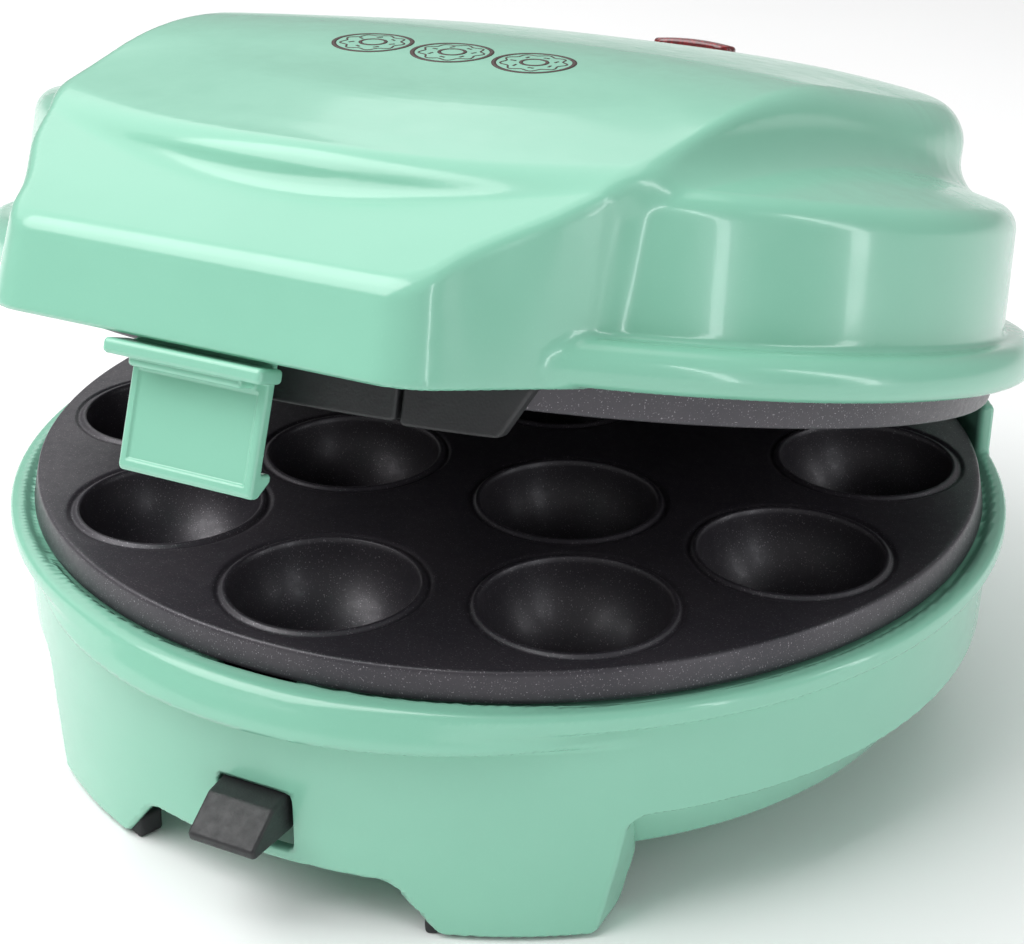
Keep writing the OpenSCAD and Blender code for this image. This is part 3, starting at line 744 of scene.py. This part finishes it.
# ---- baking plates ----
def plate_mesh():
    """Face-up plate with its face at z = 0: turned rims and cups stitched to flat webs."""
    bm = bmesh.new()
    around_cup, around_rim = ((72, 256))
    wide = 21.6
    sink = 2.4
    r = CAVITY_R
    back = r + 2.2
    lip = [(r * math.sin(a), -r * math.cos(a)) for a in np.radians(np.linspace(4, 86.5, 19))]
    lip += [(18.32, 0.02), (18.5, 0.2), (18.75, 0.29), (19.05, 0.28), (19.3, 0.12), (19.55, -0.22), (19.85, -0.45),
            (20.2, -0.47), (20.5, -0.3), (20.8, -0.08), (21.15, 0.0), (wide, 0.0)]
    cup = [(back * math.sin(a), -back * math.cos(a)) for a in np.radians(np.linspace(4, 78, 15))]
    cup += [(20.25, -3.1), (20.6, -2.65), (21.0, -sink), (wide, -sink)]

    def turned(profile, cx, cy, count):
        """Rings of a profile; returns the first ring and the last."""
        rings = []
        for radius, height in profile:
            rings.append([bm.verts.new((cx + radius * math.sin(t), cy - radius * math.cos(t), height))
                          for t in (2 * math.pi * k / count for k in range(count))])
        for a, b in zip(rings, rings[1:]):
            for k in range(count):
                bm.faces.new((a[k], a[(k + 1) % count], b[(k + 1) % count], b[k]))
        return rings[0], rings[-1]

    def web(loops):
        """Flat web between an outer loop and the cups' loops."""
        edges = []
        for loop in loops:
            for k in range(len(loop)):
                a, b = loop[k], loop[(k + 1) % len(loop)]
                edges.append(bm.edges.get((a, b)) or bm.edges.new((a, b)))
        bmesh.ops.triangle_fill(bm, use_beauty=True, edges=edges)

    for profile in (lip, cup):
        loops = []
        for cx, cy in CAVITIES:
            pole, last = turned(profile, cx, cy, around_cup)
            tip = bm.verts.new((cx, cy, -(r if profile is lip else back)))
            for k in range(around_cup):
                bm.faces.new((tip, pole[(k + 1) % around_cup], pole[k]))
            loops.append(last)
        if profile is lip:
            tops = loops
        else:
            unders = loops
    e = PLATE_R
    rim = [(e - 2.6, 0), (e - 1.9, 0), (e - 1.45, -0.1), (e - 1.2, -0.4), (e - 1.05, -1.0), (e - 0.2, -5.0),
           (e - 0.08, -5.6), (e - 0.3, -5.85), (e - 0.7, -5.9), (e - 1.7, -5.9), (e - 2.1, -5.8), (e - 2.3, -5.4),
           (e - 3.0, -3.0), (e - 3.4, -2.5), (e - 4.2, -sink), (e - 5, -sink)]
    first, last = turned(rim, 0, 0, around_rim)
    web([first] + tops)
    web([last] + unders)
    bmesh.ops.recalc_face_normals(bm, faces=bm.faces)

    def lug(low, high):
        """Cast lug, edges rounded."""
        cube = bmesh.ops.create_cube(bm, size=1)["verts"]
        size, centre = Vector(high) - Vector(low), (Vector(high) + Vector(low)) / 2
        for v in cube:
            v.co = Vector(a * b for a, b in zip(v.co, size)) + centre
        faces_edges = list({edge for v in cube for edge in v.link_edges})
        bmesh.ops.bevel(bm, geom=faces_edges, offset=0.4, segments=3, affect="EDGES", profile=0.5)

    lug((-5, -95.7, -16.4), (5, -93.4, -2.0))
    lug((-5, -97, -16.4), (5, -93.6, -14.4))
    lug((26, 89.6, -9), (38, 91.6, -2.1))
    lug((-38, 89.6, -9), (-26, 91.6, -2.1))
    bm.verts.index_update()
    vertices = [tuple(v.co) for v in bm.verts]
    faces = [[v.index for v in f.verts] for f in bm.faces]
    bm.free()
    return vertices, faces


# ---- turned pieces and prints ----
def turned_y(name, profile, count, cx, cz, **settings):
    """Closed solid turned about a line along Y from (y, radius) points, the last joined to the first."""
    vertices, faces = [], []
    n = len(profile)
    for y, radius in profile:
        for k in range(count):
            t = 2 * math.pi * k / count
            vertices.append((cx + radius * math.cos(t), y, cz + radius * math.sin(t)))
    for i in range(n):
        for k in range(count):
            m = (k + 1) % count
            j = (i + 1) % n
            faces.append((i * count + k, i * count + m, j * count + m, j * count + k))
    return solid(name, vertices, faces, place=TO_BASE, **settings)


def cord_gland():
    """Strain relief: a collar inside, a flange outside and a ribbed tail."""
    profile = [(95.6, 3.4), (95.6, 6.6), (95.9, 6.9), (98.3, 6.9), (98.6, 6.6), (98.6, 5.9), (105.9, 5.9), (106.1, 7.9),
               (106.5, 8.2), (107.9, 8.2), (108.3, 7.9), (108.5, 7.1)]
    ribs = 4
    for i in range(ribs):
        y = 108.7 + i * 2.3
        big = 7.1 - (y - 108.2) * 0.2
        profile += [(y, big - 1.3), (y + 0.7, big - 1.3), (y + 0.85, big - 0.15), (y + 1.05, big), (y + 1.95, big),
                    (y + 2.15, big - 0.2)]
    profile += [(117.95, 4.9), (118, 4.6), (118, 3.7), (117.7, 3.4)]
    return turned_y("strain_relief", profile, 64, 0, 33, body="base", material=BLACK, nodes=["cord_gland"],
                    slot="black_plastic")


def on_deck(x, y):
    """Height of the deck's surface at a point, found by halving."""
    low, high = 60.0, 130.0
    for _ in range(30):
        mid = (low + high) / 2
        if float(lid_body(np.array([x]), np.array([y]), np.array([mid]))[0]) < 0:
            low = mid
        else:
            high = mid
    return low


def print_line(points, width, closed):
    """Thin ink line on the deck, as a flat closed strip."""
    vertices, faces = [], []
    n = len(points)
    for i, (x, y) in enumerate(points):
        if closed:
            ahead, behind = points[(i + 1) % n], points[i - 1]
        else:
            ahead, behind = points[min(i + 1, n - 1)], points[max(i - 1, 0)]
        tx, ty = ahead[0] - behind[0], ahead[1] - behind[1]
        size = math.hypot(tx, ty)
        nx, ny = -ty / size * width / 2, tx / size * width / 2
        for side, lift in ((-1, -0.08), (1, -0.08), (1, 0.05), (-1, 0.05)):
            px, py = x + nx * side, y + ny * side
            vertices.append((px, py, on_deck(px, py) + lift))
    for i in range(n if closed else n - 1):
        j = (i + 1) % n
        for k in range(4):
            m = (k + 1) % 4
            faces.append((i * 4 + k, j * 4 + k, j * 4 + m, i * 4 + m))
    if not closed:
        faces.append((0, 1, 2, 3))
        faces.append(tuple((n - 1) * 4 + k for k in (3, 2, 1, 0)))
    return vertices, faces


def printed_motif():
    """Three ring doughnuts with sprinkles, printed on the deck."""
    vertices, faces = [], []

    def add(points, width, closed):
        v, f = print_line(points, width, closed)
        faces.extend([[i + len(vertices) for i in face] for face in f])
        vertices.extend(v)

    def ring(cx, cy, r, count, waves=0.0):
        turns = [2 * math.pi * k / count for k in range(count)]
        reach = [r + waves * math.sin(9 * t) for t in turns]
        return [(cx + far * math.cos(t), cy + far * math.sin(t)) for far, t in zip(reach, turns)]

    for i, cx in enumerate((-17.5, 0.0, 17.5)):
        cy = -40.0
        add(ring(cx, cy, 7.6, 64), 0.9, True)
        add(ring(cx, cy, 2.5, 32), 0.7, True)
        add(ring(cx, cy, 5.9, 90, 0.5), 0.35, True)
        for k in range(7):
            t = 2 * math.pi * (k + 0.3 * i) / 7
            lean = t + 0.9 + 0.7 * k
            x, y = cx + 4.2 * math.cos(t), cy + 4.2 * math.sin(t)
            reach = 0.6
            add([(x - reach * math.cos(lean), y - reach * math.sin(lean)),
                 (x + reach * math.cos(lean), y + reach * math.sin(lean))], 0.45, False)
    return solid("printed_rings", vertices, faces, place=TO_LID, body="lid", material=INK, slot="mint_plastic")


# ---- build ----
def build():
    lid = {"place": TO_LID, "body": "lid"}
    base = {"place": TO_BASE, "body": "base"}
    mould("lid_shell", lid_field, (-110, -121.5, 62), (110, 108, 122.4), 1.15,
          material=MINT, nodes=["lid_housing"], slot="mint_plastic", **lid)
    mould("nose_cover", underplate_field, (-64, -119, 62.6), (64, -79, 64.8), 0.8,
          material=MINT, nodes=["nose_underplate"], slot="mint_plastic", **lid)
    mould("lamp_lens", lens_field, (-11, 85.5, 113.8), (11, 92.5, 122.8), 0.4,
          material=LENS, nodes=["indicator_lens"], slot="red_lens", **lid)
    mould("catch_block", guide_field, (30, -108, 52.8), (51.5, -90, 62.8), 0.45,
          material=BLACK, nodes=["catch_guide"], slot="black_plastic", **lid)
    mould("plate_release", catch_field, (-5, -108, 53.4), (31, -95.5, 71.5), 0.45, place=TO_LID, body="catch",
          material=BLACK, nodes=["release_catch"], slot="black_plastic")
    mould("front_latch", latch_field, (-15.5, -121.2, 38.5), (15.5, -109, 70.3), 0.45, place=TO_LATCH, body="lock",
          material=MINT, nodes=["latch"], slot="mint_plastic")
    mould("plate_lever", lever_field, (-7.4, -117, 17.4), (7.4, -92.8, 44.6), 0.4, place=TO_BASE, body="lever",
          material=BLACK, nodes=["release_lever"], slot="black_plastic")
    mould("base_shell", base_field, (-108.5, -112, 0.6), (108.5, 108.6, 83), 1.1,
          material=MINT, nodes=["base_housing"], slot="mint_plastic", **base)
    mould("under_cover", cover_field, (-101, -101, 12.3), (101, 101, 26), 1.1,
          material=MINT, nodes=["bottom_cover"], slot="mint_plastic", **base)
    mould("soft_feet", foot_field, (-58, -104, 0), (58, 104, 5.1), 0.7,
          material=RUBBER, nodes=["rubber_feet"], slot="rubber", **base)
    cord_gland()
    vertices, faces = plate_mesh()
    up = Matrix.Translation((0, 0, FACE_Z))
    solid("plate_below", vertices, faces, place=up, body="base", material=COAT, nodes=["lower_plate"],
          slot="nonstick_coat")
    flip = TO_LID @ Matrix.Translation((0, 0, MID)) @ Matrix.Scale(-1, 4, (0, 0, 1)) @ up
    solid("plate_above", vertices, [f[::-1] for f in faces], place=flip, body="lid", material=COAT,
          nodes=["upper_plate"], slot="nonstick_coat")
    printed_motif()
    replaced = set()
    for piece in bpy.context.scene.objects:
        replaced |= set(piece.get("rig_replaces", []))
    for row in frame["record"]["subparts"]:
        if row["node"] not in replaced:
            turned = "screw" in row["node"] or "pin" in row["node"]
            keep_cad(row["node"], row["material_slot"], 0.2 if turned else 0)


# ---- camera, floor and light ----
def stage():
    scene = bpy.context.scene
    target = Vector((0, 0, 51.5)) * MM
    distance = 442 * MM
    azimuth, elevation, roll = math.radians(26.6), math.radians(24.73), math.radians(0.47)
    back = Vector((math.sin(azimuth) * math.cos(elevation), -math.cos(azimuth) * math.cos(elevation),
                   math.sin(elevation)))
    camera = bpy.data.objects.new("camera", bpy.data.cameras.new("camera"))
    scene.collection.objects.link(camera)
    camera.location = target + back * distance
    camera.rotation_mode = "QUATERNION"
    looking = (-back).to_track_quat("-Z", "Y")
    camera.rotation_quaternion = looking @ Matrix.Rotation(roll, 3, "Z").to_quaternion()
    camera.data.lens = 70.0
    camera.data.sensor_width = 36.0
    camera.data.shift_x = 0.003
    camera.data.shift_y = -0.0175
    camera.data.clip_start, camera.data.clip_end = 0.01, 50
    scene.camera = camera

    floor_shader = Shader("floor", Roughness=0.6)
    clouds = floor_shader.span(floor_shader.noise(3, 3, 0.5), 0.3, 0.7, 0, 1)
    floor_shader.feed("Base Color", floor_shader.blend(clouds, srgb(250, 250, 250), srgb(253, 253, 253)))
    bpy.ops.mesh.primitive_plane_add(size=8, location=(0, 0, 0))
    floor = bpy.context.object
    floor.name = "floor"
    floor.data.materials.append(floor_shader.material)

    world = bpy.data.worlds.new("studio")
    world.use_nodes = True
    world.node_tree.nodes["Background"].inputs["Color"].default_value = (1.0, 1.0, 1.0, 1)
    world.node_tree.nodes["Background"].inputs["Strength"].default_value = 0.34
    scene.world = world
    scene.view_settings.view_transform = "Standard"
    aim = Vector((0, 0, 0.07))

    def lamp(name, place, size, power, colour=(1, 1, 1)):
        data = bpy.data.lights.new(name, "AREA")
        data.shape = "RECTANGLE"
        data.size, data.size_y = size
        data.energy = power
        data.color = colour
        made = bpy.data.objects.new(name, data)
        scene.collection.objects.link(made)
        made.location = place
        made.rotation_mode = "QUATERNION"
        made.rotation_quaternion = (aim - Vector(place)).to_track_quat("-Z", "Y")

    lamp("top_box", (-0.6, 0.3, 1.5), (2.6, 2.6), 20)
    lamp("key_box", (-0.5, -0.6, 1.1), (1.1, 1.1), 14)
    lamp("right_strip", (1.05, -0.42, 0.32), (0.06, 1.0), 1.7, (0.94, 0.98, 1.0))
    lamp("right_strip_far", (1.05, 0.2, 0.36), (0.1, 0.9), 1.7, (0.96, 0.99, 1.0))

build()
stage()
